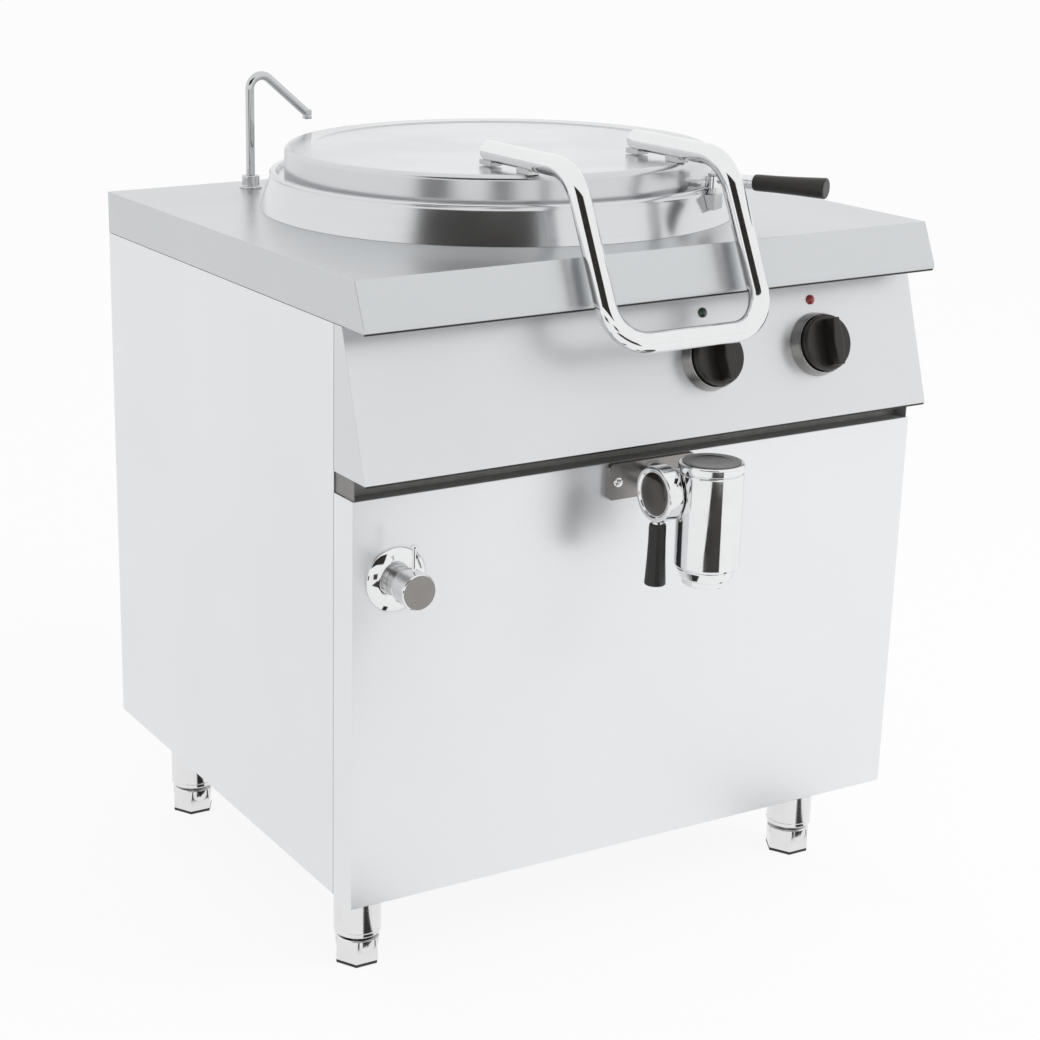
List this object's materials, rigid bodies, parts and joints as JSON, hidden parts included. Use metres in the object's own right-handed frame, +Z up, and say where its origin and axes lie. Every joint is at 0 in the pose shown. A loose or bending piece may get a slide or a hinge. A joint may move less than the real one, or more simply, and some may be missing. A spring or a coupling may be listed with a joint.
{
  "type": "boiling pan",
  "caption": "Free-standing boiling pan: a steel cabinet with a round lidded vessel, swivel filling spout, side lid clamp, control knobs, mixer tap and a front drain tap.",
  "frame": {"origin": "on the floor, under the middle of the whole object's box", "axes": "+Z up, +X to the right as the cook sees it, +Y from the cook towards the wall"},
  "size_m": [0.8, 0.8654, 1.0321],
  "materials": {
    "brushed": "brushed",
    "galvanised": "satin",
    "satin": "satin",
    "polished": "polished",
    "brass": "satin",
    "black": "matt",
    "wool": "matt",
    "green_lens": "gloss",
    "red_lens": "gloss"
  },
  "bodies": {
    "cabinet": {"base_tray": "galvanised", "left_side_panel": "brushed", "right_side_panel": "brushed", "rear_panel": "galvanised", "front_panel": "brushed", "gap_channel": "galvanised", "control_panel": "brushed", "worktop": "brushed", "pan_collar": "brushed", "pan_vessel": "satin", "insulation_jacket": "wool", "heating_elements": "satin", "element_plate": "galvanised", "support_rails": "galvanised", "drain_pipe": "satin", "hinge_bracket": "satin", "hinge_pin": "satin", "clamp_bracket": "satin", "spout_base": "polished", "filling_pipe": "satin", "mixer_escutcheon": "polished", "mixer_cartridge": "polished", "knob_bezels": "polished", "power_switch": "black", "thermostat": "black", "lamp_green": "green_lens", "lamp_red": "red_lens", "drain_flange": "polished", "flange_bolts": "polished", "drain_tap_body": "polished", "drain_tap_cap": "polished", "drain_tap_nozzle": "polished", "plug_retainer": "polished", "water_inlets": "brass", "cable_gland": "black", "legs": "polished"},
    "lid": {"lid_shell": "brushed", "lid_liner": "satin", "lid_handle": "polished", "handle_saddles": "satin", "lid_hinge_arm": "satin", "lid_keeper": "satin"},
    "lid_clamp": {"clamp_arm": "polished", "clamp_ferrule": "polished", "clamp_grip": "black"},
    "swivel_spout": {"spout_pipe": "polished", "spout_nozzle": "polished"},
    "mixer_lever": {"mixer_head": "polished", "mixer_pin": "polished"},
    "knob_left": {"knob_left": "black"},
    "knob_right": {"knob_right": "black"},
    "drain_lever": {"drain_plug": "brass", "drain_lever_hub": "polished", "drain_grip": "black"},
    "foot_front_left": {"foot_front_left": "polished"},
    "foot_front_right": {"foot_front_right": "polished"},
    "foot_rear_left": {"foot_rear_left": "polished"},
    "foot_rear_right": {"foot_rear_right": "polished"}
  },
  "joints": [
    {"name": "lid_hinge", "type": "hinge", "parent": "cabinet", "child": "lid", "pos_m": [0, 0.39975, 0.934], "axis": [-1, 0, 0], "range_deg": [0, 85]},
    {"name": "lid_clamp_swing", "type": "hinge", "parent": "cabinet", "child": "lid_clamp", "pos_m": [0.14423, -0.18345, 0.935], "axis": [0, 0, 1], "range_deg": [0, 80]},
    {"name": "spout_swivel", "type": "hinge", "parent": "cabinet", "child": "swivel_spout", "pos_m": [-0.216, 0.35675, 0.937], "axis": [0, 0, 1], "range_deg": [-90, 15]},
    {"name": "mixer_turn", "type": "hinge", "parent": "cabinet", "child": "mixer_lever", "pos_m": [-0.344, -0.31725, 0.53], "axis": [0, -1, 0], "range_deg": [-60, 60]},
    {"name": "knob_left_turn", "type": "hinge", "parent": "cabinet", "child": "knob_left", "pos_m": [0.08, -0.27689, 0.73874], "axis": [0, 0.9527, -0.304], "range_deg": [0, 270]},
    {"name": "knob_right_turn", "type": "hinge", "parent": "cabinet", "child": "knob_right", "pos_m": [0.242, -0.27689, 0.73874], "axis": [0, 0.9527, -0.304], "range_deg": [0, 300]},
    {"name": "drain_lever_turn", "type": "hinge", "parent": "cabinet", "child": "drain_lever", "pos_m": [-0.04, -0.36725, 0.614], "axis": [-1, 0, 0], "range_deg": [0, 90]},
    {"name": "foot_front_left_screw", "type": "slide", "parent": "cabinet", "child": "foot_front_left", "axis": [0, 0, -1], "range_m": [0, 0.03]},
    {"name": "foot_front_right_screw", "type": "slide", "parent": "cabinet", "child": "foot_front_right", "axis": [0, 0, -1], "range_m": [0, 0.03]},
    {"name": "foot_rear_left_screw", "type": "slide", "parent": "cabinet", "child": "foot_rear_left", "axis": [0, 0, -1], "range_m": [0, 0.03]},
    {"name": "foot_rear_right_screw", "type": "slide", "parent": "cabinet", "child": "foot_rear_right", "axis": [0, 0, -1], "range_m": [0, 0.03]}
  ]
}
